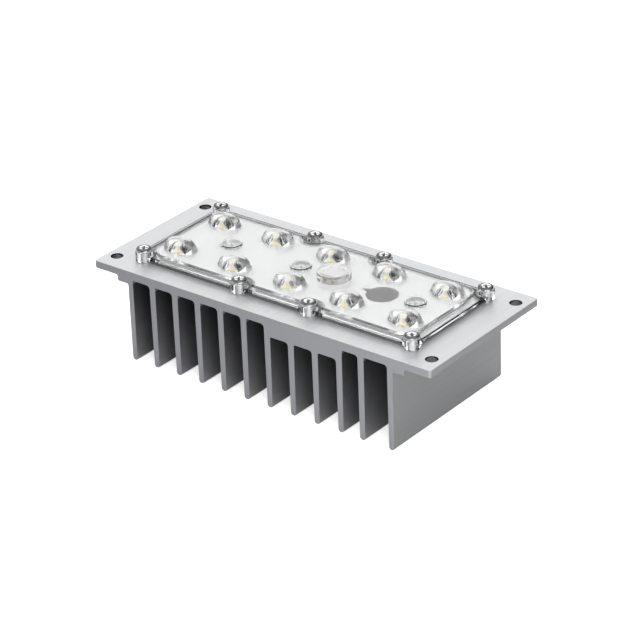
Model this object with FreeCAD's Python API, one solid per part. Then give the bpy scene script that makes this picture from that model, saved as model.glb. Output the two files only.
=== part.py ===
import FreeCAD, Part
import math
import os

# LED light module: an extruded aluminium heat sink, a white circuit board with ten LEDs, a rubber
# gasket and a clear lens panel that eight screws hold down.
# Millimetres. X runs along the plate, Y across it and Z up. The origin is the middle of the footprint
# at the level of the fin tips, on which the module stands.

Vector = FreeCAD.Vector
UP = Vector(0, 0, 1)
UNDER_CUT = 1.0         # how far a cutting shape runs past the face it opens

# Heat sink extrusion: driving sizes
PLATE_LENGTH = 160.0
PLATE_DEPTH = 69.0
HEIGHT_UNDER_TOP = 38.3     # from the fin tips to the plate's top face
PLATE_CORNER = 1.2
FLANGE_THICK = 3.0
FLANGE_REACH = 11.8         # flange at each end, past the step
BASE_THICK = 3.5            # plate between the fins
BLOCK_THICK = 8.0           # thicker plate that carries the cable inlet
PAD_THICK = 5.5             # step beside each outer fin that takes the corner screws
PAD_WIDTH = 5.2             # from the step's edge to the outer fin's flat face
FIN_ROOT = 2.75
FIN_TIP = 2.35
OUTER_FIN_ROOT = 2.4
OUTER_FIN_TIP = 2.2
PITCHED_FINS = 10           # fins that keep one pitch, counted from the left
CLOSE_PITCH = 9.98          # from the tenth fin to the eleventh
END_PITCH = 13.2            # from the eleventh fin to the twelfth
BLOCK_FIRST_FIN = 7         # the thick block lies between these two fins
BLOCK_LAST_FIN = 10
INLET_FIN_GAP = 9           # the cable inlet is in the middle of this gap between fins
ROOT_FILLET_LEFT = 1.5      # on the left side of a fin, under the plate
ROOT_FILLET_RIGHT = 0.6
PAD_FILLET = 1.0
EDGE_ROUND = 0.35
TIP_ROUND_SHARE = 0.47      # of the fin's tip thickness, so that the tip is nearly a half round

# Mounting holes in the flange
MOUNT_INSET_X = 5.0
MOUNT_INSET_Y = 7.75
MOUNT_HOLE_DIA = 5.0

# Screws
SCREW_DIA = 2.9
SCREW_HOLE_GAP = 0.1        # on the diameter of the drilled hole
SCREW_PASS_DIA = 3.4        # clearance hole in the board and the bosses
HEAD_DIA = 5.8
HEAD_HEIGHT = 1.8
HEAD_RIM = 0.95             # straight side of the head under its cone
HEAD_TOP_DIA = 4.2
RECESS_SPAN = 3.2
RECESS_WIDTH = 0.7
RECESS_DEPTH = 1.2
POINT_LENGTH = 0.5
DRILL_REST = 0.3            # drilled depth left under a screw's point
DRILL_SKIN = 0.4            # metal left under the drilled hole where the plate is thinnest

# Board and thermal pad
PAD_SHEET = 0.3
BOARD_THICK = 1.6
BOARD_EDGE_GAP = 0.3        # between the board and the wall of the panel

# LEDs, two rows of five
LED_COLUMNS = 5
LED_ROWS = 2
LED_END_MARGIN = 7.5        # from an end LED to the wall of the panel's hollow
LED_SIDE_MARGIN = 8.05
LED_BASE_SIDE = 3.5
LED_BASE_THICK = 0.7
LED_BASE_CHAMFER = 0.3
CHIP_SIDE = 3.0
CHIP_THICK = 0.2

# Places along the board, in LED pitches from its middle
INNER_SCREW_COLUMN = 0.618
BOARD_SCREW_COLUMNS = (-1.464, -0.194, 1.806)
TERMINAL_COLUMN = 0.395

# Cable inlet
INLET_SIDE = 0.715          # from the bore to the fin on each side
GROMMET_HEAD_DIA = 12.3
GROMMET_HEAD_RISE = 0.1     # above the board
GROMMET_GAP = 0.1           # round the neck and the head
GROMMET_WALL = 1.15
GROMMET_SKIN = 1.2          # closed skin over the bore
GROMMET_POINT = 3.4         # how far the pointed slot reaches past the round hole
GROMMET_POINT_WIDTH = 3.4

# Wire terminal under the turret
TERMINAL_LENGTH = 8.0
TERMINAL_DEPTH = 6.4
TERMINAL_HEIGHT = 3.2
TERMINAL_ROUND = 0.6
CONTACT_DIA = 1.5
CONTACT_SPACING = 3.6
CONTACT_DEPTH = 2.4
CONTACT_PROUD = 0.25

# Gasket
GASKET_INSET_X = 2.2        # from the edge of the step under the plate
GASKET_INSET_Y = 10.0       # from the plate's long edge
GASKET_THICK = 1.1
GASKET_BAND = 1.0
GASKET_CORNER = 3.0
GASKET_BOSS_GAP = 0.3
GASKET_BAND_AT_BOSS = 1.0

# Lens panel
CAVITY_INSET_X = 4.8        # from the gasket's outline to the hollow over the board
CAVITY_INSET_Y = 3.1
SCREW_INSET_X = 2.2         # from the gasket's outline to the corner screws
SCREW_INSET_Y = 1.1
CAVITY_CORNER = 5.5
CAVITY_NOTCH = 6.0          # radius of the hollow's notch round an inner screw
PANEL_WALL = 1.0
FLANGE_PROUD = 0.4          # panel flange past the gasket
PANEL_FLANGE_THICK = 1.6
CAVITY_CEILING = 2.4        # underside of the raised field, above the plate
FIELD_THICK = 1.3
NOTCH_MOUTH_FILLET = 1.2
BOSS_DIA = 6.75
BOSS_FOOT_GAP = 0.3         # between a boss and the plate
BOSS_TOP = 4.2              # above the plate
TURRET_DIA = 13.2
TURRET_RISE = 2.9
TURRET_WALL = 1.1
CAP_DIA = 8.6
CAP_RISE = 0.9
CAP_WALL = 0.65
MOULDED_ROUND = 0.35

# Lenses: long outer crown with two lobes along X, and a hollow over the LED
LENS_HALF_X = 7.4
LENS_HALF_Y = 5.1
LENS_CROWN = 4.0
LENS_FULLNESS = 1.0
LENS_SHOULDER = 1.0         # fills the crown out near its rim
LENS_SADDLE = 0.8           # depth of the dip between the two lobes
LENS_SADDLE_POWER = 4       # the higher, the narrower the dip
HOLLOW_HALF_X = 2.8
HOLLOW_HALF_Y = 4.4
HOLLOW_RISE = 3.7
HOLLOW_FULLNESS = 0.7
FREEFORM_MARGIN = 0.3       # how far a lens surface runs on past its rim

# Half sizes and places worked out from the sizes above
PAD_REACH = PLATE_LENGTH / 2 - FLANGE_REACH
OUTER_FIN_FACE = PAD_REACH - PAD_WIDTH
FIRST_FIN = OUTER_FIN_TIP / 2 - OUTER_FIN_FACE
FIN_PITCH = (-2 * FIRST_FIN - CLOSE_PITCH - END_PITCH) / (PITCHED_FINS - 1)
LAST_INNER_FIN = -FIRST_FIN - END_PITCH
GASKET_HALF_X = PAD_REACH - GASKET_INSET_X
GASKET_HALF_Y = PLATE_DEPTH / 2 - GASKET_INSET_Y
CAVITY_HALF_X = GASKET_HALF_X - CAVITY_INSET_X
CAVITY_HALF_Y = GASKET_HALF_Y - CAVITY_INSET_Y
LED_PITCH_X = 2 * (CAVITY_HALF_X - LED_END_MARGIN) / (LED_COLUMNS - 1)
LED_PITCH_Y = 2 * (CAVITY_HALF_Y - LED_SIDE_MARGIN) / (LED_ROWS - 1)
CORNER_SCREW_X = GASKET_HALF_X - SCREW_INSET_X
COVER_SCREW_Y = GASKET_HALF_Y - SCREW_INSET_Y
INNER_SCREW_X = INNER_SCREW_COLUMN * LED_PITCH_X
TERMINAL_X = TERMINAL_COLUMN * LED_PITCH_X
INLET_X = FIRST_FIN + FIN_PITCH * (INLET_FIN_GAP - 0.5)
INLET_BORE_DIA = FIN_PITCH - FIN_ROOT - 2 * INLET_SIDE
GROMMET_BORE_DIA = INLET_BORE_DIA - GROMMET_GAP - 2 * GROMMET_WALL
COVER_SCREW_LENGTH = BOSS_TOP + BASE_THICK - DRILL_REST - DRILL_SKIN
BOARD_SCREW_LENGTH = PAD_SHEET + BOARD_THICK + BASE_THICK - DRILL_REST - DRILL_SKIN

# Levels worked out from the sizes above
PLATE_TOP = HEIGHT_UNDER_TOP
BOARD_BOTTOM = PLATE_TOP + PAD_SHEET
BOARD_TOP = BOARD_BOTTOM + BOARD_THICK
CEILING = PLATE_TOP + CAVITY_CEILING
FIELD_TOP = CEILING + FIELD_THICK
FLANGE_BOTTOM = PLATE_TOP + GASKET_THICK
FLANGE_TOP = FLANGE_BOTTOM + PANEL_FLANGE_THICK
SCREW_SEAT = PLATE_TOP + BOSS_TOP

CORNER_SCREWS = [(sx * CORNER_SCREW_X, sy * COVER_SCREW_Y) for sy in (-1, 1) for sx in (-1, 1)]
INNER_SCREWS = [(sx * INNER_SCREW_X, sy * COVER_SCREW_Y) for sy in (-1, 1) for sx in (-1, 1)]
COVER_SCREWS = CORNER_SCREWS + INNER_SCREWS
BOARD_SCREWS = [(column * LED_PITCH_X, 0.0) for column in BOARD_SCREW_COLUMNS]
LED_PLACES = [
    ((column - (LED_COLUMNS - 1) / 2) * LED_PITCH_X, (row - (LED_ROWS - 1) / 2) * LED_PITCH_Y)
    for row in range(LED_ROWS)
    for column in range(LED_COLUMNS)
]


def cylinder(x, y, diameter, low, high):
    """Upright cylinder between two levels."""
    return Part.makeCylinder(diameter / 2, high - low, Vector(x, y, low), UP)


def rounded_outline(corners):
    """Closed wire in the XZ plane through corners (x, z, radius), each rounded by its radius."""
    edges = []
    starts = []
    ends = []
    count = len(corners)
    for index in range(count):
        x, z, radius = corners[index]
        here = Vector(x, 0, z)
        before = Vector(corners[index - 1][0], 0, corners[index - 1][1])
        after = Vector(corners[(index + 1) % count][0], 0, corners[(index + 1) % count][1])
        back = (before - here).normalize()
        ahead = (after - here).normalize()
        if radius == 0:
            starts.append(here)
            ends.append(here)
            continue
        half_angle = back.getAngle(ahead) / 2
        tangent = radius / math.tan(half_angle)
        bisector = (back + ahead).normalize()
        middle = here + bisector * (radius / math.sin(half_angle) - radius)
        starts.append(here + back * tangent)
        ends.append(here + ahead * tangent)
        edges.append((index, Part.Arc(starts[-1], middle, ends[-1]).toShape()))
    arcs = dict(edges)
    outline = []
    for index in range(count):
        if index in arcs:
            outline.append(arcs[index])
        outline.append(Part.LineSegment(ends[index], starts[(index + 1) % count]).toShape())
    return Part.Wire(outline)


def rounded_plate(half_x, half_y, corner, low, high):
    """Plate between two levels with rounded upright corners."""
    plate = Part.makeBox(2 * half_x, 2 * half_y, high - low, Vector(-half_x, -half_y, low))
    upright = [edge for edge in plate.Edges if abs(edge.tangentAt(edge.FirstParameter).z) > 0.9]
    return plate.makeFillet(corner, upright)


def notched_plate(half_x, half_y, corner, low, high, notch_radius, places):
    """Rounded plate with a round notch about each place and eased notch mouths."""
    plate = rounded_plate(half_x, half_y, corner, low, high)
    notches = [cylinder(x, y, 2 * notch_radius, low - UNDER_CUT, high + UNDER_CUT) for x, y in places]
    plate = plate.cut(notches)
    mouths = []
    for edge in plate.Edges:
        middle = edge.CenterOfMass
        if abs(edge.tangentAt(edge.FirstParameter).z) < 0.9 or edge.Curve.TypeId != "Part::GeomLine":
            continue
        for x, y in places:
            if abs(math.hypot(middle.x - x, middle.y - y) - notch_radius) < 1e-4:
                mouths.append(edge)
    return plate.makeFillet(NOTCH_MOUTH_FILLET, mouths)


def fin_sections():
    """Left and right sides of every fin, first at its root and then at its tip, from left to right."""
    face = OUTER_FIN_FACE
    middles = [FIRST_FIN + FIN_PITCH * index for index in range(1, PITCHED_FINS)] + [LAST_INNER_FIN]
    root = FIN_ROOT / 2
    tip = FIN_TIP / 2
    fins = [(-face, -face + OUTER_FIN_ROOT, -face, -face + OUTER_FIN_TIP)]
    fins += [(middle - root, middle + root, middle - tip, middle + tip) for middle in middles]
    fins.append((face - OUTER_FIN_ROOT, face, face - OUTER_FIN_TIP, face))
    return fins


def heatsink_profile():
    """Cross-section of the extrusion, walked clockwise from the plate's top left corner."""
    half = PLATE_LENGTH / 2
    flange_low = PLATE_TOP - FLANGE_THICK
    pad_low = PLATE_TOP - PAD_THICK
    corners = [(-half, PLATE_TOP, EDGE_ROUND), (half, PLATE_TOP, EDGE_ROUND)]
    corners.append((half, flange_low, EDGE_ROUND))
    corners += [(PAD_REACH, flange_low, PAD_FILLET), (PAD_REACH, pad_low, EDGE_ROUND)]
    fins = fin_sections()
    last = len(fins)
    for number in range(last, 0, -1):
        root_left, root_right, tip_left, tip_right = fins[number - 1]
        tip_round = TIP_ROUND_SHARE * (tip_right - tip_left)
        if number == last:
            right_level = pad_low
            left_level = PLATE_TOP - BASE_THICK
        else:
            in_block_right = BLOCK_FIRST_FIN <= number < BLOCK_LAST_FIN
            in_block_left = BLOCK_FIRST_FIN < number <= BLOCK_LAST_FIN
            right_level = PLATE_TOP - (BLOCK_THICK if in_block_right else BASE_THICK)
            left_level = PLATE_TOP - (BLOCK_THICK if in_block_left else BASE_THICK)
        if number == 1:
            left_level = pad_low
        corners.append((root_right, right_level, ROOT_FILLET_RIGHT))
        corners.append((tip_right, 0.0, tip_round))
        corners.append((tip_left, 0.0, tip_round))
        corners.append((root_left, left_level, ROOT_FILLET_LEFT if number > 1 else ROOT_FILLET_RIGHT))
    corners += [(-PAD_REACH, pad_low, EDGE_ROUND), (-PAD_REACH, flange_low, PAD_FILLET)]
    corners.append((-half, flange_low, EDGE_ROUND))
    return corners


def heatsink():
    """Extruded profile with rounded plate corners, mounting holes, screw holes and cable inlet."""
    section = Part.Face(rounded_outline(heatsink_profile()))
    section.translate(Vector(0, -PLATE_DEPTH / 2, 0))
    body = section.extrude(Vector(0, PLATE_DEPTH, 0))
    half_x = PLATE_LENGTH / 2
    half_y = PLATE_DEPTH / 2
    body = body.common(rounded_plate(half_x, half_y, PLATE_CORNER, -UNDER_CUT, PLATE_TOP + UNDER_CUT))
    flange_low = PLATE_TOP - FLANGE_THICK
    cuts = []
    for sx in (-1, 1):
        for sy in (-1, 1):
            x = sx * (half_x - MOUNT_INSET_X)
            y = sy * (half_y - MOUNT_INSET_Y)
            cuts.append(cylinder(x, y, MOUNT_HOLE_DIA, flange_low - UNDER_CUT, PLATE_TOP + UNDER_CUT))
    hole_dia = SCREW_DIA + SCREW_HOLE_GAP
    cover_depth = SCREW_SEAT - COVER_SCREW_LENGTH - DRILL_REST
    for x, y in COVER_SCREWS:
        cuts.append(cylinder(x, y, hole_dia, cover_depth, PLATE_TOP + UNDER_CUT))
    board_depth = BOARD_TOP - BOARD_SCREW_LENGTH - DRILL_REST
    for x, y in BOARD_SCREWS:
        cuts.append(cylinder(x, y, hole_dia, board_depth, PLATE_TOP + UNDER_CUT))
    block_low = PLATE_TOP - BLOCK_THICK
    cuts.append(cylinder(INLET_X, 0, INLET_BORE_DIA, block_low - UNDER_CUT, PLATE_TOP + UNDER_CUT))
    return body.cut(cuts)


def board_blank(low, high):
    """Board outline, with notches for the inner screws, the inlet's keyhole and the screw holes."""
    half_x = CAVITY_HALF_X - BOARD_EDGE_GAP
    half_y = CAVITY_HALF_Y - BOARD_EDGE_GAP
    corner = CAVITY_CORNER - BOARD_EDGE_GAP
    notch = CAVITY_NOTCH + BOARD_EDGE_GAP
    blank = notched_plate(half_x, half_y, corner, low, high, notch, INNER_SCREWS)
    cuts = [keyhole(GROMMET_GAP, low - UNDER_CUT, high + UNDER_CUT)]
    for x, y in BOARD_SCREWS:
        cuts.append(cylinder(x, y, SCREW_PASS_DIA, low - UNDER_CUT, high + UNDER_CUT))
    return blank.cut(cuts)


def keyhole(gap, low, high):
    """Round disc with a pointed lip towards -X, larger all round by the gap."""
    radius = GROMMET_HEAD_DIA / 2 + gap
    disc = cylinder(INLET_X, 0, 2 * radius, low, high)
    root = INLET_X - radius + GROMMET_POINT_WIDTH / 2
    tip = INLET_X - radius - GROMMET_POINT
    half = GROMMET_POINT_WIDTH / 2 + gap
    points = [Vector(root, -half, low), Vector(root, half, low), Vector(tip, 0, low)]
    lip = Part.Face(Part.makePolygon(points + points[:1])).extrude(Vector(0, 0, high - low))
    return disc.fuse(lip)


def cable_grommet():
    """Rubber grommet: keyhole-shaped head on the plate, neck in the bore, and a skin over its own bore."""
    neck_dia = INLET_BORE_DIA - GROMMET_GAP
    block_low = PLATE_TOP - BLOCK_THICK
    head_top = BOARD_TOP + GROMMET_HEAD_RISE
    neck = cylinder(INLET_X, 0, neck_dia, block_low, PLATE_TOP)
    body = keyhole(0.0, PLATE_TOP, head_top).fuse(neck)
    bore = cylinder(INLET_X, 0, GROMMET_BORE_DIA, block_low - UNDER_CUT, head_top - GROMMET_SKIN)
    return body.cut(bore).removeSplitter()


def recess():
    """Cross-shaped cut from the top of a screw head whose seat is at the origin."""
    height = RECESS_DEPTH + UNDER_CUT
    corner = Vector(-RECESS_SPAN / 2, -RECESS_WIDTH / 2, HEAD_HEIGHT - RECESS_DEPTH)
    bar = Part.makeBox(RECESS_SPAN, RECESS_WIDTH, height, corner)
    other = bar.copy()
    other.rotate(Vector(0, 0, 0), UP, 90)
    return bar.fuse(other)


def cross_screw(x, y, seat, length):
    """Screw with its seat at the given level: one turned profile and a cross recess."""
    radius = HEAD_DIA / 2
    shank = SCREW_DIA / 2
    points = [
        Vector(0, 0, HEAD_HEIGHT),
        Vector(0, 0, -length),
        Vector(shank - POINT_LENGTH / 2, 0, -length),
        Vector(shank, 0, POINT_LENGTH - length),
        Vector(shank, 0, 0),
        Vector(radius, 0, 0),
        Vector(radius, 0, HEAD_RIM),
        Vector(HEAD_TOP_DIA / 2, 0, HEAD_HEIGHT),
    ]
    section = Part.Face(Part.makePolygon(points + points[:1]))
    body = section.revolve(Vector(0, 0, 0), UP, 360).cut(recess())
    body.translate(Vector(x, y, seat))
    return body


def led_base(x, y):
    """Square ceramic base with chamfered corners."""
    half = LED_BASE_SIDE / 2
    corner = Vector(x - half, y - half, BOARD_TOP)
    base = Part.makeBox(LED_BASE_SIDE, LED_BASE_SIDE, LED_BASE_THICK, corner)
    upright = [edge for edge in base.Edges if abs(edge.tangentAt(edge.FirstParameter).z) > 0.9]
    return base.makeChamfer(LED_BASE_CHAMFER, upright)


def led_phosphor(x, y):
    """Thin square phosphor chip in the middle of the base."""
    half = CHIP_SIDE / 2
    corner = Vector(x - half, y - half, BOARD_TOP + LED_BASE_THICK)
    return Part.makeBox(CHIP_SIDE, CHIP_SIDE, CHIP_THICK, corner)


def wire_terminal():
    """Nylon terminal block with rounded upright edges and two round wire entries."""
    block = rounded_plate(TERMINAL_LENGTH / 2, TERMINAL_DEPTH / 2, TERMINAL_ROUND, BOARD_TOP,
                          BOARD_TOP + TERMINAL_HEIGHT)
    block.translate(Vector(TERMINAL_X, 0, 0))
    return block.cut([contact_shape(side, 0.0) for side in (-1, 1)])


def contact_shape(side, proud):
    """Round contact in the block's front face, standing proud of it by the given length."""
    x = TERMINAL_X + side * CONTACT_SPACING / 2
    level = BOARD_TOP + TERMINAL_HEIGHT / 2
    start = Vector(x, -TERMINAL_DEPTH / 2 - proud, level)
    return Part.makeCylinder(CONTACT_DIA / 2, CONTACT_DEPTH + proud, start, Vector(0, 1, 0))


def cover_gasket():
    """Rubber frame that runs inside all eight bosses."""
    boss_notch = BOSS_DIA / 2 + GASKET_BOSS_GAP
    outer = rounded_plate(GASKET_HALF_X, GASKET_HALF_Y, GASKET_CORNER, PLATE_TOP, FLANGE_BOTTOM)
    inner_x = GASKET_HALF_X - GASKET_BAND
    inner_y = GASKET_HALF_Y - GASKET_BAND
    low = PLATE_TOP - UNDER_CUT
    high = FLANGE_BOTTOM + UNDER_CUT
    inner = rounded_plate(inner_x, inner_y, GASKET_CORNER, low, high)
    wide_notch = boss_notch + GASKET_BAND_AT_BOSS
    inner = inner.cut([cylinder(x, y, 2 * wide_notch, low, high) for x, y in COVER_SCREWS])
    bosses = [cylinder(x, y, 2 * boss_notch, low, high) for x, y in COVER_SCREWS]
    return outer.cut(inner).cut(bosses)


def times(left, right):
    """Product of two polynomials in x and y, each a dictionary from (power of x, power of y) to factor."""
    result = {}
    for (a, b), one in left.items():
        for (c, d), other in right.items():
            result[a + c, b + d] = result.get((a + c, b + d), 0.0) + one * other
    return result


def plus(left, right):
    """Sum of two polynomials in x and y."""
    keys = set(left) | set(right)
    return {key: left.get(key, 0.0) + right.get(key, 0.0) for key in keys}


def crown_form():
    """Crown (1 - s) (crown (1 + fullness s + shoulder s s) - saddle (1 - u) ** power) over an ellipse
    of half axes a and b, with s = x x / (a a) + y y / (b b) and u = x x / (a a)."""
    across = 1 / LENS_HALF_X ** 2
    along = 1 / LENS_HALF_Y ** 2
    rim = {(0, 0): 1.0, (2, 0): -across, (0, 2): -along}
    share = {(2, 0): across, (0, 2): along}
    bulge = {(0, 0): LENS_CROWN * LENS_FULLNESS, (2, 0): LENS_CROWN * LENS_SHOULDER * across,
             (0, 2): LENS_CROWN * LENS_SHOULDER * along}
    full = plus({(0, 0): LENS_CROWN}, times(share, bulge))
    saddle = {(0, 0): -LENS_SADDLE}
    for _ in range(LENS_SADDLE_POWER):
        saddle = times(saddle, {(0, 0): 1.0, (2, 0): -across})
    return times(rim, plus(full, saddle))


def hollow_form():
    """Roof rise (1 - s) (1 + fullness s) of the hollow over an LED, with s = 1 on its elliptical rim."""
    across = 1 / HOLLOW_HALF_X ** 2
    along = 1 / HOLLOW_HALF_Y ** 2
    rim = {(0, 0): HOLLOW_RISE, (2, 0): -HOLLOW_RISE * across, (0, 2): -HOLLOW_RISE * along}
    full = {(0, 0): 1.0, (2, 0): HOLLOW_FULLNESS * across, (0, 2): HOLLOW_FULLNESS * along}
    return times(rim, full)


def bernstein(power, degree, half):
    """Control values of x ** power as a Bezier curve of the degree over -half to half."""
    values = []
    for index in range(degree + 1):
        total = sum(
            math.comb(index, taken) * math.comb(degree - index, power - taken) * (-1) ** (power - taken)
            for taken in range(power + 1)
        )
        values.append(total * half ** power / math.comb(degree, power))
    return values


def freeform_patch(form, half_x, half_y, level):
    """Bezier patch that is exactly the height form over a rectangle about the Z axis."""
    degree_x = max(power for power, _ in form)
    degree_y = max(power for _, power in form)
    xs = bernstein(1, degree_x, half_x)
    ys = bernstein(1, degree_y, half_y)
    heights = [[level] * (degree_y + 1) for _ in xs]
    for (power_x, power_y), factor in form.items():
        along = bernstein(power_x, degree_x, half_x)
        across = bernstein(power_y, degree_y, half_y)
        for i in range(degree_x + 1):
            for j in range(degree_y + 1):
                heights[i][j] += factor * along[i] * across[j]
    patch = Part.BezierSurface()
    patch.increase(degree_x, degree_y)
    for i in range(degree_x + 1):
        for j in range(degree_y + 1):
            patch.setPole(i + 1, j + 1, Vector(xs[i], ys[j], heights[i][j]))
    return patch.toShape()


def freeform_solid(form, reach_x, reach_y, level, low, drop):
    """Solid under a height form about the Z axis, inside a box and above a level."""
    patch = freeform_patch(form, reach_x + FREEFORM_MARGIN, reach_y + FREEFORM_MARGIN, level)
    under = patch.extrude(Vector(0, 0, -drop))
    under = Part.Solid(under) if under.ShapeType == "Shell" else under
    half_x = reach_x + FREEFORM_MARGIN / 2
    half_y = reach_y + FREEFORM_MARGIN / 2
    return under.common(Part.makeBox(2 * half_x, 2 * half_y, drop, Vector(-half_x, -half_y, low)))


def moulded_stub(x, y, diameter, low, high):
    """Upright cylinder with a rounded top edge."""
    stub = cylinder(x, y, diameter, low, high)
    rims = [edge for edge in stub.Edges if abs(edge.CenterOfMass.z - high) < 1e-6]
    return stub.makeFillet(MOULDED_ROUND, rims)


def lens_panel():
    """Clear moulding: flange, bosses and raised field outside, cavity, pockets and lens hollows inside."""
    flange = rounded_plate(GASKET_HALF_X + FLANGE_PROUD, GASKET_HALF_Y + FLANGE_PROUD,
                           GASKET_CORNER + FLANGE_PROUD, FLANGE_BOTTOM, FLANGE_TOP)
    wall = PANEL_WALL
    field = notched_plate(CAVITY_HALF_X + wall, CAVITY_HALF_Y + wall, CAVITY_CORNER + wall,
                          FLANGE_BOTTOM, FIELD_TOP, CAVITY_NOTCH - wall, INNER_SCREWS)
    added = [field]
    mid_field = FIELD_TOP - FIELD_THICK / 2
    for x, y in COVER_SCREWS:
        added.append(cylinder(x, y, BOSS_DIA, PLATE_TOP + BOSS_FOOT_GAP, SCREW_SEAT))
    added.append(moulded_stub(TERMINAL_X, 0, TURRET_DIA, mid_field, FIELD_TOP + TURRET_RISE))
    for x, y in BOARD_SCREWS:
        added.append(moulded_stub(x, y, CAP_DIA, mid_field, FIELD_TOP + CAP_RISE))
    drop = 2 * (LENS_CROWN + FIELD_THICK)
    crown = freeform_solid(crown_form(), LENS_HALF_X, LENS_HALF_Y, FIELD_TOP, mid_field, drop)
    for x, y in LED_PLACES:
        added.append(crown.translated(Vector(x, y, 0)))
    panel = flange.fuse(added)
    cavity_low = FLANGE_BOTTOM - UNDER_CUT
    cuts = [notched_plate(CAVITY_HALF_X, CAVITY_HALF_Y, CAVITY_CORNER, cavity_low, CEILING,
                          CAVITY_NOTCH, INNER_SCREWS)]
    for x, y in COVER_SCREWS:
        cuts.append(cylinder(x, y, SCREW_PASS_DIA, PLATE_TOP - UNDER_CUT, SCREW_SEAT + UNDER_CUT))
    turret_top = FIELD_TOP + TURRET_RISE - TURRET_WALL
    cuts.append(cylinder(TERMINAL_X, 0, TURRET_DIA - 2 * TURRET_WALL, cavity_low, turret_top))
    for x, y in BOARD_SCREWS:
        cuts.append(cylinder(x, y, CAP_DIA - 2 * CAP_WALL, cavity_low, FIELD_TOP + CAP_RISE - CAP_WALL))
    hollow = freeform_solid(hollow_form(), HOLLOW_HALF_X, HOLLOW_HALF_Y, CEILING, cavity_low,
                            3 * HOLLOW_RISE)
    for x, y in LED_PLACES:
        cuts.append(hollow.translated(Vector(x, y, 0)))
    return panel.cut(cuts).removeSplitter()


def all_parts():
    """Every piece under its node name."""
    parts = {
        "heatsink": heatsink(),
        "thermal_pad": board_blank(PLATE_TOP, BOARD_BOTTOM),
        "circuit_board": board_blank(BOARD_BOTTOM, BOARD_TOP),
        "cable_grommet": cable_grommet(),
        "wire_terminal": wire_terminal(),
        "cover_gasket": cover_gasket(),
        "lens_panel": lens_panel(),
    }
    for number, side in enumerate((-1, 1), start=1):
        parts[f"terminal_contact_{number}"] = contact_shape(side, CONTACT_PROUD)
    for number, (x, y) in enumerate(LED_PLACES, start=1):
        parts[f"led_{number}_base"] = led_base(x, y)
        parts[f"led_{number}_phosphor"] = led_phosphor(x, y)
    for number, (x, y) in enumerate(COVER_SCREWS, start=1):
        parts[f"cover_screw_{number}"] = cross_screw(x, y, SCREW_SEAT, COVER_SCREW_LENGTH)
    for number, (x, y) in enumerate(BOARD_SCREWS, start=1):
        parts[f"board_screw_{number}"] = cross_screw(x, y, BOARD_TOP, BOARD_SCREW_LENGTH)
    return parts


os.makedirs("parts", exist_ok=True)
for name, shape in all_parts().items():
    shape.exportStep(f"parts/{name}.step")
    print(name, shape.ShapeType, len(shape.Solids), shape.isValid(), round(shape.Volume, 2))
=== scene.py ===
import math

import bmesh
import bpy
import numpy as np
from mathutils import Matrix, Vector


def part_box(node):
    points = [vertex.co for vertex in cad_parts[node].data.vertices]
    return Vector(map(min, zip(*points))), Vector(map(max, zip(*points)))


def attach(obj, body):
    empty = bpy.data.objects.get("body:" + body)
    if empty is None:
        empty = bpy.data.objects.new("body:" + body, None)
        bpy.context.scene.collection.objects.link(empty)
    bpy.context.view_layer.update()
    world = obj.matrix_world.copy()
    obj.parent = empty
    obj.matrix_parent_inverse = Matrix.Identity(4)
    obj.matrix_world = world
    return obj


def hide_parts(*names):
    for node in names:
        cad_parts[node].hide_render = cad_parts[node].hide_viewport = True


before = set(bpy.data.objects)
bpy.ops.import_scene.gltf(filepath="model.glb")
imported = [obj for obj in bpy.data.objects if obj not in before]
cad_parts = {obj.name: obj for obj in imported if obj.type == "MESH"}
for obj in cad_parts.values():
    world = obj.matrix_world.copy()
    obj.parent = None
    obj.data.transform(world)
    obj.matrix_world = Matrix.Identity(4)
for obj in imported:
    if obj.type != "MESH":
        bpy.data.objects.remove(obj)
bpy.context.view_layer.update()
scene = bpy.context.scene
MM = 0.001

# Camera
# The view was solved from the corners, holes and fins of the plate: a long lens from the front right,
# a little above, rolled two degrees.
plate_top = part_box("heatsink")[1].z
VIEW_AZIMUTH = math.radians(38.624)
VIEW_ELEVATION = math.radians(27.408)
VIEW_ROLL = math.radians(-2.054)
VIEW_DISTANCE = 1.07988
VIEW_SLIDE_RIGHT = 0.002961
VIEW_SLIDE_UP = -0.015622
LENS_MM = 160.11
SENSOR_MM = 36.0
NEAREST = 0.05
FARTHEST = 50.0

camera_data = bpy.data.cameras.new("camera")
camera_data.lens = LENS_MM
camera_data.sensor_width = SENSOR_MM
camera_data.clip_start = NEAREST
camera_data.clip_end = FARTHEST
camera = bpy.data.objects.new("camera", camera_data)
scene.collection.objects.link(camera)
back = Vector((
    math.sin(VIEW_AZIMUTH) * math.cos(VIEW_ELEVATION),
    -math.cos(VIEW_AZIMUTH) * math.cos(VIEW_ELEVATION),
    math.sin(VIEW_ELEVATION),
))
level_right = Vector((math.cos(VIEW_AZIMUTH), math.sin(VIEW_AZIMUTH), 0.0))
level_up = back.cross(level_right)
right = level_right * math.cos(VIEW_ROLL) + level_up * math.sin(VIEW_ROLL)
up = level_up * math.cos(VIEW_ROLL) - level_right * math.sin(VIEW_ROLL)
eye = right * VIEW_SLIDE_RIGHT + up * VIEW_SLIDE_UP + back * VIEW_DISTANCE + Vector((0, 0, plate_top))
camera.matrix_world = Matrix.Translation(eye) @ Matrix((right, up, back)).transposed().to_4x4()
scene.camera = camera

# Studio
# A pale floor in a soft white room with two dark patches low down, one at the back right and one at the front,
# which give the dark edges in the clear moulding. The wall at the back left is less bright, and a soft light
# stands at the front right. Away from the module the floor falls into shade.
scene.view_settings.view_transform = "Standard"
scene.cycles.max_bounces = 24
scene.cycles.transmission_bounces = 20
scene.cycles.transparent_max_bounces = 16


def link(tree, source, target):
    tree.links.new(source, target)


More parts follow.
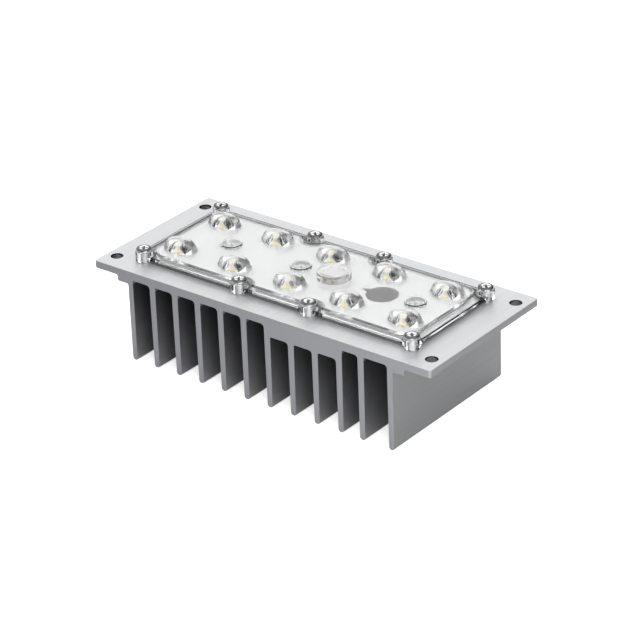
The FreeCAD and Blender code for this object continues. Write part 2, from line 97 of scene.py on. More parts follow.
def math_node(tree, operation, *inputs):
    """Math node whose inputs are sockets or numbers; gives its result socket."""
    node = tree.nodes.new("ShaderNodeMath")
    node.operation = operation
    for slot, value in zip(node.inputs, inputs):
        if isinstance(value, (int, float)):
            slot.default_value = value
        else:
            link(tree, value, slot)
    return node.outputs[0]


def ramp_node(tree, value, low, high, start=0.0, end=1.0):
    """Smooth step of a socket from start to end as it goes from low to high."""
    node = tree.nodes.new("ShaderNodeMapRange")
    node.interpolation_type = "SMOOTHSTEP"
    link(tree, value, node.inputs["Value"])
    node.inputs["From Min"].default_value = low
    node.inputs["From Max"].default_value = high
    node.inputs["To Min"].default_value = start
    node.inputs["To Max"].default_value = end
    return node.outputs["Result"]


ROOM_BRIGHT = 3.0
DARK_PATCHES = (          # azimuth and elevation of the middle, edge and core half-angles in degrees, how dark
    (53.0, 9.0, 58.0, 36.0, 0.98),
    (-95.0, 0.0, 80.0, 48.0, 0.98),
    (128.0, 22.0, 66.0, 20.0, 0.58),
)
world = bpy.data.worlds.new("studio")
scene.world = world
world.use_nodes = True
tree = world.node_tree
tree.nodes.clear()
direction = tree.nodes.new("ShaderNodeTexCoord").outputs["Generated"]
level = ROOM_BRIGHT
for *angles, depth in DARK_PATCHES:
    azimuth, elevation, edge, core = (math.radians(angle) for angle in angles)
    flat = math.cos(elevation)
    towards = tree.nodes.new("ShaderNodeVectorMath")
    towards.operation = "DOT_PRODUCT"
    link(tree, direction, towards.inputs[0])
    towards.inputs[1].default_value = (math.cos(azimuth) * flat, math.sin(azimuth) * flat, math.sin(elevation))
    kept = ramp_node(tree, towards.outputs["Value"], math.cos(edge), math.cos(core), 1.0, 1.0 - depth)
    level = math_node(tree, "MULTIPLY", level, kept)
background = tree.nodes.new("ShaderNodeBackground")
background.inputs["Color"].default_value = (1.0, 1.0, 1.0, 1.0)
link(tree, level, background.inputs["Strength"])
output = tree.nodes.new("ShaderNodeOutputWorld")
link(tree, background.outputs[0], output.inputs["Surface"])

FRONT_LIGHT_AT = Vector((0.20, -0.235, 0.08))
FRONT_LIGHT_AIM = Vector((0.03, -0.03, 0.02))
FRONT_LIGHT_SIZE = 0.2
FRONT_LIGHT_WATTS = 0.55
front_light = bpy.data.lights.new("front_light", "AREA")
front_light.size = FRONT_LIGHT_SIZE
front_light.energy = FRONT_LIGHT_WATTS
front_lamp = bpy.data.objects.new("front_light", front_light)
front_lamp.location = FRONT_LIGHT_AT
front_lamp.rotation_euler = (FRONT_LIGHT_AT - FRONT_LIGHT_AIM).to_track_quat("Z", "Y").to_euler()
front_lamp.visible_camera = False
scene.collection.objects.link(front_lamp)

FLOOR_SIZE = 8.0
FLOOR_GREY = 0.29
FLOOR_FAR_GREY = 0.05
FLOOR_NEAR = 0.16          # distances from the middle between which the floor falls into shade
FLOOR_FAR = 0.34
FLOOR_PAINT = 0.9          # as the camera sees it
FLOOR_GLOW = 0.6
floor_mesh = bpy.data.meshes.new("floor")
half_floor = FLOOR_SIZE / 2
floor_mesh.from_pydata([(-half_floor, -half_floor, 0), (half_floor, -half_floor, 0),
                        (half_floor, half_floor, 0), (-half_floor, half_floor, 0)], [], [(0, 1, 2, 3)])
floor = bpy.data.objects.new("floor", floor_mesh)
scene.collection.objects.link(floor)
floor_paint = bpy.data.materials.new("floor_paint")
floor_paint.use_nodes = True
tree = floor_paint.node_tree
tree.nodes.clear()
grey = tree.nodes.new("ShaderNodeBsdfDiffuse")
from_middle = tree.nodes.new("ShaderNodeVectorMath")
from_middle.operation = "LENGTH"
link(tree, tree.nodes.new("ShaderNodeTexCoord").outputs["Object"], from_middle.inputs[0])
link(tree, ramp_node(tree, from_middle.outputs["Value"], FLOOR_NEAR, FLOOR_FAR, FLOOR_GREY, FLOOR_FAR_GREY),
     grey.inputs["Color"])
pale = tree.nodes.new("ShaderNodeBsdfDiffuse")
pale.inputs["Color"].default_value = (FLOOR_PAINT, FLOOR_PAINT, FLOOR_PAINT, 1.0)
glow = tree.nodes.new("ShaderNodeEmission")
glow.inputs["Strength"].default_value = FLOOR_GLOW
bright = tree.nodes.new("ShaderNodeAddShader")
link(tree, pale.outputs[0], bright.inputs[0])
link(tree, glow.outputs[0], bright.inputs[1])
seen = tree.nodes.new("ShaderNodeLightPath").outputs["Is Camera Ray"]
mix = tree.nodes.new("ShaderNodeMixShader")
link(tree, seen, mix.inputs["Fac"])
link(tree, grey.outputs[0], mix.inputs[1])
link(tree, bright.outputs[0], mix.inputs[2])
output = tree.nodes.new("ShaderNodeOutputMaterial")
link(tree, mix.outputs[0], output.inputs["Surface"])
floor_mesh.materials.append(floor_paint)

# Heat sink
# One length of extruded aluminium, sawn to length and drilled, satin anodised. Die lines run along the fins and
# the sawn ends are flat and even. The seat under the clear panel is painted lighter, painted light that makes
# up for the shade under the panel. Between the fins the colour is painted shade, darkest at the roots and
# lighter towards the tips.
EASED_EDGE = 0.3 * MM
EASED_STEPS = 2
EASED_FROM = 40.0               # degrees between two faces from which their edge is eased
FLAT_WITHIN = 0.5               # degrees within which faces count as one flat
SAWN_FACING = 0.9               # share of a normal along Y from which a face is a sawn one
MOUNT_HOLE = (75.0 * MM, 26.75 * MM)
MOUNT_HOLE_RADIUS = 2.5 * MM
HOLE_SLACK = 1.02               # how far out a hole's wall is looked for, in radii
LEVEL_FACING = 0.5              # share of a normal along Z from which a face isn't a wall
MERGE_WITHIN = 1e-7             # distance in metres below which two points are one
SEAT_HALF = (66.2 * MM, 24.7 * MM)
SURFACE_DEPTH = 0.05 * MM       # how far below a level still counts as its surface
FINS_REACH = 62.8 * MM          # how far the gaps between the fins go from the middle
FINS_UNDER = 5.0 * MM           # how far below the plate's top they start
GAP_SHADE_END = -6.0 * MM            # level at which the painted gap shade would have run out
NOISE_ROUGHNESS = 0.55


def principled(name, **sockets):
    """New material with one Principled shader, its sockets set by name; gives the material and shader."""
    material = bpy.data.materials.new(name)
    material.use_nodes = True
    shader = material.node_tree.nodes["Principled BSDF"]
    for socket, value in sockets.items():
        shader.inputs[socket.replace("_", " ")].default_value = value
    return material, shader


def stretched_noise(tree, stretch, scale, detail=4.0):
    """Noise on object coordinates, stretched by a factor for each axis; gives its value socket."""
    coordinates = tree.nodes.new("ShaderNodeTexCoord")
    mapping = tree.nodes.new("ShaderNodeMapping")
    mapping.inputs["Scale"].default_value = stretch
    link(tree, coordinates.outputs["Object"], mapping.inputs["Vector"])
    noise = tree.nodes.new("ShaderNodeTexNoise")
    noise.inputs["Scale"].default_value = scale
    noise.inputs["Detail"].default_value = detail
    noise.inputs["Roughness"].default_value = NOISE_ROUGHNESS
    link(tree, mapping.outputs["Vector"], noise.inputs["Vector"])
    return noise.outputs["Fac"]


def add_bump(tree, shader, height, distance):
    """Bump of a height socket, in metres, on a shader's normal."""
    bump = tree.nodes.new("ShaderNodeBump")
    bump.inputs["Distance"].default_value = distance
    link(tree, height, bump.inputs["Height"])
    link(tree, bump.outputs["Normal"], shader.inputs["Normal"])


def tint(tree, value, dark, light):
    """Colour socket that goes from dark to light as the value goes from 0 to 1."""
    ramp = tree.nodes.new("ShaderNodeValToRGB")
    ramp.color_ramp.elements[0].color = (*dark, 1.0)
    ramp.color_ramp.elements[1].color = (*light, 1.0)
    link(tree, value, ramp.inputs["Fac"])
    return ramp.outputs["Color"]


def mixed(tree, share, first, second):
    """Colour socket that goes from the first colour to the second as the share goes from 0 to 1."""
    node = tree.nodes.new("ShaderNodeMixRGB")
    link(tree, share, node.inputs["Fac"])
    link(tree, first, node.inputs["Color1"])
    link(tree, second, node.inputs["Color2"])
    return node.outputs["Color"]


def axes_of(tree, output):
    """X, Y and Z sockets of the object coordinates or of the normal."""
    node = tree.nodes.new("ShaderNodeSeparateXYZ")
    link(tree, tree.nodes.new("ShaderNodeTexCoord").outputs[output], node.inputs[0])
    return node.outputs


skin, shader = principled("aluminium_skin", Metallic=0.85)
tree = skin.node_tree
lines = stretched_noise(tree, (1.0, 0.012, 1.0), 1400.0, detail=3.0)
grain = stretched_noise(tree, (1.0, 1.0, 1.0), 5200.0, detail=2.0)
drawn = ramp_node(tree, lines, 0.3, 0.7)
anodised = tint(tree, drawn, (0.53, 0.535, 0.545), (0.56, 0.565, 0.575))
# Painted light: the seat under the clear panel is much lighter than the skin, to make up for the shade under
# the panel.
lit_seat_colour = tint(tree, drawn, (0.80, 0.805, 0.815), (0.86, 0.865, 0.875))
place = axes_of(tree, "Object")
seat = math_node(tree, "GREATER_THAN", place["Z"], plate_top - SURFACE_DEPTH)
for axis, half in zip("XY", SEAT_HALF):
    inside = math_node(tree, "LESS_THAN", math_node(tree, "ABSOLUTE", place[axis]), half)
    seat = math_node(tree, "MULTIPLY", seat, inside)
# Painted shade between the fins: dark at the roots, lighter towards the tips.
to_tip = ramp_node(tree, place["Z"], GAP_SHADE_END, plate_top - FINS_UNDER, 1.0, 0.0)
gap_shade_colour = tint(tree, to_tip, (0.14, 0.14, 0.155), (0.6, 0.605, 0.63))
gap = math_node(tree, "MULTIPLY", math_node(tree, "LESS_THAN", place["Z"], plate_top - FINS_UNDER),
                math_node(tree, "LESS_THAN", math_node(tree, "ABSOLUTE", place["X"]), FINS_REACH))
link(tree, mixed(tree, gap, mixed(tree, seat, anodised, lit_seat_colour), gap_shade_colour), shader.inputs["Base Color"])
link(tree, ramp_node(tree, grain, 0.3, 0.7, 0.36, 0.5), shader.inputs["Roughness"])
add_bump(tree, shader, math_node(tree, "ADD", lines, math_node(tree, "MULTIPLY", grain, 0.5)), 0.000012)

cut, shader = principled("aluminium_cut", Metallic=0.8)
tree = cut.node_tree
saw = stretched_noise(tree, (1.0, 1.0, 0.03), 1800.0, detail=3.0)
link(tree, tint(tree, ramp_node(tree, saw, 0.3, 0.7), (0.535, 0.54, 0.57), (0.575, 0.58, 0.61)),
     shader.inputs["Base Color"])
link(tree, ramp_node(tree, saw, 0.3, 0.7, 0.46, 0.58), shader.inputs["Roughness"])
add_bump(tree, shader, saw, 0.00001)

drilled, shader = principled("aluminium_drilled", Metallic=1.0, Roughness=0.1)
tree = drilled.node_tree
turned = stretched_noise(tree, (0.06, 0.06, 1.0), 3000.0, detail=2.0)
# Painted shade: the hole walls are far darker than bare aluminium, standing in for the shade inside the holes.
link(tree, tint(tree, ramp_node(tree, turned, 0.3, 0.7), (0.2, 0.2, 0.205), (0.34, 0.34, 0.345)),
     shader.inputs["Base Color"])
add_bump(tree, shader, turned, 0.000006)

# Lighter metal on the eased edges: partly bare burnished aluminium, partly a painted highlight along the
# plate's edges.
burnished_highlight, shader = principled("aluminium_edge", Metallic=0.9, Roughness=0.3)
tree = burnished_highlight.node_tree
link(tree, tint(tree, stretched_noise(tree, (1, 1, 1), 900.0), (0.74, 0.745, 0.755), (0.86, 0.865, 0.875)),
     shader.inputs["Base Color"])


def copy_of_node(node, name):
    """The CAD node's mesh as a new object with its doubles merged and its flat faces joined up."""
    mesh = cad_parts[node].data.copy()
    mesh.name = name
    mesh.materials.clear()
    work = bmesh.new()
    work.from_mesh(mesh)
    bmesh.ops.remove_doubles(work, verts=work.verts, dist=MERGE_WITHIN)
    bmesh.ops.dissolve_limit(work, angle_limit=math.radians(FLAT_WITHIN), verts=work.verts, edges=work.edges)
    work.to_mesh(mesh)
    work.free()
    piece = bpy.data.objects.new(name, mesh)
    scene.collection.objects.link(piece)
    return piece


def finish_piece(piece, node, slot, *materials, smooth=30.0):
    """Shades a piece smooth up to an angle, gives it its materials and makes it stand for its node."""
    for material in materials:
        piece.data.materials.append(material)
    piece.data.shade_smooth()
    piece.data.set_sharp_from_angle(angle=math.radians(smooth))
    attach(piece, "root")
    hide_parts(*([node] if isinstance(node, str) else node))


sink = copy_of_node("heatsink", "heatsink_body")
bevel = sink.modifiers.new("eased", "BEVEL")
bevel.width = EASED_EDGE
bevel.segments = EASED_STEPS
bevel.limit_method = "ANGLE"
bevel.angle_limit = math.radians(EASED_FROM)
bevel.use_clamp_overlap = True
bevel.material = 3          # the burnished one, lighter in part as a painted highlight
normals = np.empty(len(sink.data.polygons) * 3)
sink.data.polygons.foreach_get("normal", normals)
middles = np.empty_like(normals)
sink.data.polygons.foreach_get("center", middles)
normals = normals.reshape(-1, 3)
middles = middles.reshape(-1, 3)
sawn = np.abs(normals[:, 1]) > SAWN_FACING
from_hole = np.hypot(np.abs(middles[:, 0]) - MOUNT_HOLE[0], np.abs(middles[:, 1]) - MOUNT_HOLE[1])
in_hole = (from_hole < MOUNT_HOLE_RADIUS * HOLE_SLACK) & (np.abs(normals[:, 2]) < LEVEL_FACING)
finish_piece(sink, "heatsink", "aluminium", skin, cut, drilled, burnished_highlight)
sink.data.polygons.foreach_set("material_index", np.where(in_hole, 2, sawn).astype(np.int32))

# Thermal pad and gasket
# A thin filled sheet under the board, and a dark rubber frame that the clear panel presses down. The face under
# the panel is painted pale, painted light that makes the flange look light from above, while the sides keep the
# dark rubber colour.
def dress(node, material):
    """Gives a CAD node its finished material."""
    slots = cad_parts[node].data.materials
    slots.clear()
    slots.append(material)


pad_material, shader = principled("thermal_pad", Roughness=0.8)
tree = pad_material.node_tree
link(tree, tint(tree, stretched_noise(tree, (1, 1, 1), 900.0), (0.25, 0.26, 0.29), (0.34, 0.35, 0.38)),
     shader.inputs["Base Color"])
dress("thermal_pad", pad_material)

gasket_material, shader = principled("gasket_rubber", Roughness=0.62)
tree = gasket_material.node_tree
rubber = stretched_noise(tree, (1, 1, 1), 2600.0)
black = tint(tree, rubber, (0.10, 0.10, 0.103), (0.14, 0.14, 0.143))
# Painted light: the upward face is pale, the sides keep the rubber's dark colour.
lit_top_colour = tint(tree, rubber, (0.68, 0.685, 0.69), (0.76, 0.765, 0.77))
on_top = math_node(tree, "GREATER_THAN", axes_of(tree, "Normal")["Z"], 0.5)
link(tree, mixed(tree, on_top, black, lit_top_colour), shader.inputs["Base Color"])
add_bump(tree, shader, rubber, 0.00002)
dress("cover_gasket", gasket_material)

# Circuit board
# Aluminium-core board with a satin white solder mask, which has a faint orange-peel relief. It is punched to
# its outline, with notches for the inner screws and a keyhole for the grommet.
board_material, shader = principled("board_white", Roughness=0.38)
tree = board_material.node_tree
mask = stretched_noise(tree, (1, 1, 1), 700.0)
link(tree, tint(tree, mask, (0.93, 0.93, 0.935), (0.96, 0.96, 0.96)), shader.inputs["Base Color"])
add_bump(tree, shader, stretched_noise(tree, (1, 1, 1), 2400.0), 0.000015)
dress("circuit_board", board_material)

# Cable grommet
# Dark grey silicone, one moulding with a keyhole-shaped head in the board's opening and a blind bore under it.
grommet_material, shader = principled("grommet_rubber", Roughness=0.5)
tree = grommet_material.node_tree
silicone = stretched_noise(tree, (1, 1, 1), 1500.0)
link(tree, tint(tree, silicone, (0.032, 0.031, 0.033), (0.058, 0.057, 0.06)), shader.inputs["Base Color"])
add_bump(tree, shader, silicone, 0.00003)
dress("cable_grommet", grommet_material)

# Wire terminal
# Light nylon block with two tinned brass contacts, soldered to the board under the turret.
nylon, shader = principled("nylon", Roughness=0.45, Subsurface_Weight=0.1)
tree = nylon.node_tree
link(tree, tint(tree, stretched_noise(tree, (1, 1, 1), 600.0), (0.72, 0.67, 0.65), (0.82, 0.78, 0.76)),
     shader.inputs["Base Color"])
brass, shader = principled("brass", Metallic=1.0, Roughness=0.3)
tree = brass.node_tree
link(tree, tint(tree, stretched_noise(tree, (1, 1, 1), 2200.0), (0.50, 0.40, 0.30), (0.62, 0.52, 0.40)),
     shader.inputs["Base Color"])
dress("wire_terminal", nylon)
dress("terminal_contact_1", brass)
dress("terminal_contact_2", brass)

# LEDs
# Ten packages: a white ceramic base with a square phosphor chip on top.
LED_COUNT = 10
ceramic, shader = principled("ceramic", Roughness=0.5)
tree = ceramic.node_tree
link(tree, tint(tree, stretched_noise(tree, (1, 1, 1), 3000.0), (0.78, 0.78, 0.76), (0.86, 0.86, 0.84)),
     shader.inputs["Base Color"])
phosphor, shader = principled("phosphor", Roughness=0.7)
tree = phosphor.node_tree
powder = stretched_noise(tree, (1, 1, 1), 9000.0, detail=6.0)
link(tree, tint(tree, powder, (0.92, 0.83, 0.42), (0.97, 0.90, 0.58)), shader.inputs["Base Color"])
add_bump(tree, shader, powder, 0.00003)
for number in range(1, LED_COUNT + 1):
    dress(f"led_{number}_base", ceramic)
    dress(f"led_{number}_phosphor", phosphor)

# Lens panel
# One clear injection moulding: a flange over the gasket, eight screw bosses, a raised field with ten
# two-lobed lenses, a turret over the terminal and three low caps over the board screws. It is polished on top
# and fine-textured underneath.
BEDDED = 0.4 * MM           # how far a shape that is added on top runs down into the field
LENS_BEDDED = 0.9 * MM
FLANGE_HALF = (66.4 * MM, 24.9 * MM)
FLANGE_CORNER = 3.4 * MM
FLANGE_SPAN = (1.1 * MM, 2.7 * MM)
FIELD_HALF = (62.2 * MM, 22.4 * MM)
FIELD_CORNER = 6.5 * MM
FIELD_TOP = 3.7 * MM
CEILING = 2.4 * MM
WALL = 1.0 * MM
NOTCH = 5.0 * MM
NOTCH_MOUTH = 1.2 * MM
corner_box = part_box("cover_screw_4")
inner_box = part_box("cover_screw_8")
CORNER_SCREW = ((corner_box[0].x + corner_box[1].x) / 2, (corner_box[0].y + corner_box[1].y) / 2)
INNER_SCREW = ((inner_box[0].x + inner_box[1].x) / 2, (inner_box[0].y + inner_box[1].y) / 2)
BOSS_RADIUS = 3.375 * MM
BOSS_SPAN = (0.3 * MM, 4.2 * MM)
PASS_RADIUS = 1.7 * MM
terminal_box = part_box("wire_terminal")
TURRET_X = (terminal_box[0].x + terminal_box[1].x) / 2
TURRET_RADIUS = 6.6 * MM
TURRET_TOP = 6.6 * MM
TURRET_WALL = 1.1 * MM
TURRET_EDGE = 0.15 * MM
board_screw_boxes = [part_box(f"board_screw_{number}") for number in range(1, 4)]
CAP_PLACES = [(low.x + high.x) / 2 for low, high in board_screw_boxes]
CAP_RADIUS = 4.3 * MM
CAP_TOP = 4.6 * MM
CAP_WALL = 0.65 * MM
LENS_HALF = (7.4 * MM, 5.1 * MM)
LENS_CROWN = 4.0 * MM
LENS_SADDLE = 0.8 * MM
HOLLOW_HALF = (3.4 * MM, 4.4 * MM)
HOLLOW_RISE = 4.0 * MM
HOLLOW_ASIDE = (-0.55 * MM, -0.4 * MM)
SOFT_EDGE = 0.35 * MM       # radius of the moulding's outer edges
FLANGE_SOFT = 0.15 * MM     # radius of the edge on the gasket
EDGE_STEPS = 4
ARC_STEPS = 14
ROUND_TURNS = 96            # points round the turret
STUB_TURNS = 64             # points round a boss or a cap
CROWN_TURNS = 84            # points round a lens
CROWN_RINGS = 32
CROWN_PAST = 1.03           # how far past its rim a lens runs, as a share of its half size
PAST_SOFT = 1.25            # how far in from an edge the last ring lies, in edge radii
POLE = 0.02 * MM            # radius of the tiny flat that closes a pole
SMALLEST = 0.01 * MM
BELOW = -1.0 * MM           # level below the moulding from which hollows are cut
CEILING_DEPTH = 0.02 * MM   # how far from the ceiling's level its texture reaches
MATTE = 0.3                 # roughness of the fine-textured underside


def mesh_piece(name, vertices, faces):
    """New object from a vertex array and a face list, with its faces turned outwards."""
    mesh = bpy.data.meshes.new(name)
    mesh.from_pydata(np.asarray(vertices).tolist(), [], faces)
    work = bmesh.new()
    work.from_mesh(mesh)
    bmesh.ops.recalc_face_normals(work, faces=work.faces)
    work.to_mesh(mesh)
    work.free()
    piece = bpy.data.objects.new(name, mesh)
    scene.collection.objects.link(piece)
    return piece


def ring_solid(rings):
    """Vertices and faces of a closed solid: rings of equal count joined by quads, flat at both ends."""
    count, turns = rings.shape[:2]
    index = np.arange(count * turns).reshape(count, turns)
    here = index[:-1]
    there = index[1:]
    quads = np.stack([here, np.roll(here, -1, 1), np.roll(there, -1, 1), there], -1).reshape(-1, 4)
    faces = quads.tolist() + [index[0].tolist(), index[-1].tolist()]
    return rings.reshape(-1, 3), faces


def turned_rings(radii, heights, turns, x=0.0, y=0.0):
    """Rings about an upright axis at (x, y): ring i has radius radii[i] and height heights[i].
    Each point is (x + r cos t, y + r sin t, z) with t going once round."""
    angle = np.linspace(0, 2 * np.pi, turns, endpoint=False)
    radii = np.asarray(radii, float)[:, None]
    heights = np.broadcast_to(np.asarray(heights, float)[:, None], (len(radii), turns))
    return np.stack([x + radii * np.cos(angle), y + radii * np.sin(angle), heights], -1)


def outline(half, corner, notch=None):
    """Points and outward normals round a rounded rectangle, with notches about the inner screws if asked.
    Every round stretch is an arc: centre + radius (cos a, sin a), and straight sides join the arcs."""
    half_x, half_y = half
    arcs = [(-half_x + corner, -half_y + corner, corner, 180, 270, 1)]
    if notch:
        screw_x, screw_y = INNER_SCREW
        centre_y = -half_y + NOTCH_MOUTH
        drop = screw_y + centre_y
        aside = math.sqrt((notch + NOTCH_MOUTH) ** 2 - drop ** 2)
        tilt = math.degrees(math.atan2(drop, aside))
        for x in (-screw_x, screw_x):
            arcs.append((x - aside, centre_y, NOTCH_MOUTH, -90, -tilt, 1))
            arcs.append((x, -screw_y, notch, 180 - tilt, tilt, -1))
            arcs.append((x + aside, centre_y, NOTCH_MOUTH, 180 + tilt, 270, 1))
    arcs.append((half_x - corner, -half_y + corner, corner, 270, 360, 1))
    points = []
    normals = []
    for x, y, radius, start, end, side in arcs:
        angle = np.radians(np.linspace(start, end, ARC_STEPS))
        radial = np.stack([np.cos(angle), np.sin(angle)], -1)
        points.append(np.array([x, y]) + radius * radial)
        normals.append(side * radial)
    points = np.concatenate(points)
    normals = np.concatenate(normals)
    return np.concatenate([points, -points]), np.concatenate([normals, -normals])


def slab(shape, low, high, soft_low=0.0, soft_high=0.0):
    """Closed slab of an outline between two levels above the plate. Its rims are quarter rounds: at angle a
    the outline is inset by r (1 - sin a) and the level is r (1 - cos a) from the face."""
    points, normals = shape
    turn = np.linspace(0, np.pi / 2, EDGE_STEPS + 1)
    inset = []
    level = []
    for soft, face, way in ((soft_low, low, 1), (soft_high, high, -1)):
        edge_inset = np.append(soft * PAST_SOFT, soft * (1 - np.sin(turn))) if soft else np.zeros(1)
        edge_level = np.append(face, face + way * soft * (1 - np.cos(turn))) if soft else np.array([face])
        inset.append(edge_inset if way > 0 else edge_inset[::-1])
        level.append(edge_level if way > 0 else edge_level[::-1])
    inset = np.concatenate(inset)
    level = np.concatenate(level) + plate_top
    flat = points[None] - inset[:, None, None] * normals[None]
    height = np.broadcast_to(level[:, None, None], flat.shape[:2] + (1,))
    return ring_solid(np.concatenate([flat, height], -1))


def stub(x, y, radius, low, high, soft=0.0, turns=STUB_TURNS):
    """Closed upright cylinder with a quarter-round top edge."""
    turn = np.linspace(0, np.pi / 2, EDGE_STEPS + 1) if soft else np.zeros(1)
    radii = np.concatenate([[radius], radius - soft * (1 - np.cos(turn)), [radius - soft * PAST_SOFT]])
    heights = np.concatenate([[low], high - soft * (1 - np.sin(turn)), [high]]) + plate_top
    if not soft:
        radii = np.array([radius, radius])
        heights = np.array([low, high]) + plate_top
    return ring_solid(turned_rings(radii, heights, turns, x, y))


def crowned(x, y, half, level, low, height):
    """Closed solid under a height function over an ellipse. Ring i has the half sizes times the sine of an even
    step, out to a little past the rim, and the last ring drops straight down to low."""
    share = np.maximum(CROWN_PAST * np.sin(np.linspace(0, np.pi / 2, CROWN_RINGS)), POLE / half[0])[:, None]
    angle = np.linspace(0, 2 * np.pi, CROWN_TURNS, endpoint=False)
    flat_x = half[0] * share * np.cos(angle)
    flat_y = half[1] * share * np.sin(angle)
    top = np.maximum(level + height(flat_x, flat_y), low + SMALLEST)
    down = np.stack([x + flat_x[-1:], y + flat_y[-1:], np.full((1, CROWN_TURNS), plate_top + low)], -1)
    return ring_solid(np.concatenate([np.stack([x + flat_x, y + flat_y, plate_top + top], -1), down]))


def lens_height(x, y):
    """Crown (1 - s)(1 + s + 0.6 s s) with s = 1 on the elliptical rim, less a dip (1 - x x / a a) ** 4 across
    the middle, which leaves two lobes."""
    across = (x / LENS_HALF[0]) ** 2
    share = across + (y / LENS_HALF[1]) ** 2
    dip = LENS_SADDLE * np.clip(1 - across, 0, 1) ** 4
    return (1 - share) * (LENS_CROWN * (1 + share + 0.6 * share ** 2) - dip)


def hollow_height(x, y):
    """Roof (1 - s)(1 - 0.17 s) over an ellipse that is longer across the module."""
    share = (x / HOLLOW_HALF[0]) ** 2 + (y / HOLLOW_HALF[1]) ** 2
    return HOLLOW_RISE * (1 - share) * (1 - 0.17 * share)


def joined(name, solids):
    """One object from several closed solids that don't touch."""
    vertices = []
    faces = []
    start = 0
    for points, own_faces in solids:
        vertices.append(points)
        faces += [[corner + start for corner in face] for face in own_faces]
        start += len(points)
    return mesh_piece(name, np.concatenate(vertices), faces)


def combine(piece, other, operation):
    """Adds or takes away another closed solid, and removes that one."""
    modifier = piece.modifiers.new("combine", "BOOLEAN")
    modifier.operation = operation
    modifier.solver = "EXACT"
    modifier.object = other
    bpy.context.view_layer.update()
    graph = bpy.context.evaluated_depsgraph_get()
    mesh = bpy.data.meshes.new_from_object(piece.evaluated_get(graph))
    piece.modifiers.clear()
    piece.data = mesh
    bpy.data.objects.remove(other)


led_boxes = [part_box(f"led_{number}_base") for number in range(1, LED_COUNT + 1)]
led_places = [((low.x + high.x) / 2, (low.y + high.y) / 2) for low, high in led_boxes]
screw_places = [(sx * x, sy * y) for x, y in (CORNER_SCREW, INNER_SCREW) for sy in (-1, 1) for sx in (-1, 1)]
bed = FIELD_TOP - BEDDED
panel = joined("lens_panel_clear", [slab(outline(FLANGE_HALF, FLANGE_CORNER), *FLANGE_SPAN, FLANGE_SOFT,
                                         SOFT_EDGE)])
field = joined("field", [slab(outline(FIELD_HALF, FIELD_CORNER, NOTCH), FLANGE_SPAN[0] + 0.2 * MM, FIELD_TOP,
                              0.0, SOFT_EDGE)])
combine(panel, field, "UNION")
raised = [stub(x, y, BOSS_RADIUS, *BOSS_SPAN, SOFT_EDGE) for x, y in screw_places]
raised.append(stub(TURRET_X, 0, TURRET_RADIUS, bed, TURRET_TOP, TURRET_EDGE, ROUND_TURNS))
raised += [stub(x, 0, CAP_RADIUS, bed, CAP_TOP, SOFT_EDGE) for x in CAP_PLACES]
raised += [crowned(x, y, LENS_HALF, FIELD_TOP, FIELD_TOP - LENS_BEDDED, lens_height) for x, y in led_places]
combine(panel, joined("raised", raised), "UNION")
cavity_half = (FIELD_HALF[0] - WALL, FIELD_HALF[1] - WALL)
cavity = joined("cavity", [slab(outline(cavity_half, FIELD_CORNER - WALL, NOTCH + WALL), BELOW, CEILING)])
combine(panel, cavity, "DIFFERENCE")
sunk = [stub(x, y, PASS_RADIUS, BELOW, BOSS_SPAN[1] + 1.0 * MM) for x, y in screw_places]
sunk.append(stub(TURRET_X, 0, TURRET_RADIUS - TURRET_WALL, BELOW, TURRET_TOP - TURRET_WALL, 0.0, ROUND_TURNS))
sunk += [stub(x, 0, CAP_RADIUS - CAP_WALL, BELOW, CAP_TOP - CAP_WALL) for x in CAP_PLACES]
sunk += [crowned(x + HOLLOW_ASIDE[0], y + HOLLOW_ASIDE[1], HOLLOW_HALF, CEILING, BELOW, hollow_height)
         for x, y in led_places]
combine(panel, joined("sunk", sunk), "DIFFERENCE")

clear, shader = principled("clear_plastic", IOR=1.49, Transmission_Weight=1.0)
tree = clear.node_tree
height = axes_of(tree, "Object")["Z"]
from_ceiling = math_node(tree, "ABSOLUTE", math_node(tree, "SUBTRACT", height, plate_top + CEILING))
ceiling = math_node(tree, "LESS_THAN", from_ceiling, CEILING_DEPTH)
link(tree, math_node(tree, "MULTIPLY", ceiling, MATTE), shader.inputs["Roughness"])
link(tree, tint(tree, stretched_noise(tree, (1, 1, 1), 120.0), (0.985, 0.99, 0.99), (0.995, 0.998, 0.998)),
     shader.inputs["Base Color"])
finish_piece(panel, "lens_panel", "clear_plastic", clear, smooth=32.0)

# Screws
# Zinc-plated pan-head screws with a cross recess, eight through the bosses and three through the board. The
# recess and a ring round the top of the head are painted dark, painted shade. The plating is light and matt
# below the level of the cover screws' seats.
SOLID_HEAD_HEIGHT = 1.8 * MM    # of the plain head in the solids, measured down to its seat
HEAD_RADIUS = 2.9 * MM
HEAD_HEIGHT = 1.2 * MM
HEAD_RIM = 0.8 * MM
HEAD_EDGE = 0.15 * MM
HEAD_RINGS = 36
SHADE_RING_FROM = (0.6, 0.68)         # shares of the head's radius between which the painted shade ring sets in
BOARD_SCREW_SHADE = 0.45             # how strong the painted shade is on the board's screws, which sit under the caps
RECESS_HALF = 1.9 * MM
RECESS_WIDTH = 0.42 * MM
RECESS_DEPTH = 0.9 * MM
RECESS_TURN = 0.67              # radians from X to an arm of the recess
TURN_SPREAD = 0.12              # radians by which the screws' turns differ
THREAD_CREST = 1.45 * MM
THREAD_DEPTH = 0.26 * MM
THREAD_PITCH = 0.5 * MM
THREAD_ROWS = 6                 # rings for each turn of the thread
THREAD_START = 0.15 * MM
POINT_LENGTH = 0.7 * MM
POINT_SHARE = 0.75              # radius at the point as a share of the thread's
SCREW_TURNS = 48
MATT_MORE = 0.4                 # what the covered part adds to the roughness
METAL_LESS = 0.6                # what it takes from the metal look


def smooth_step(value, low, high):
    """Smooth step from 0 to 1, 3 s s - 2 s s s, as the value goes from low to high."""
    share = np.clip((value - low) / (high - low), 0, 1)
    return share * share * (3 - 2 * share)


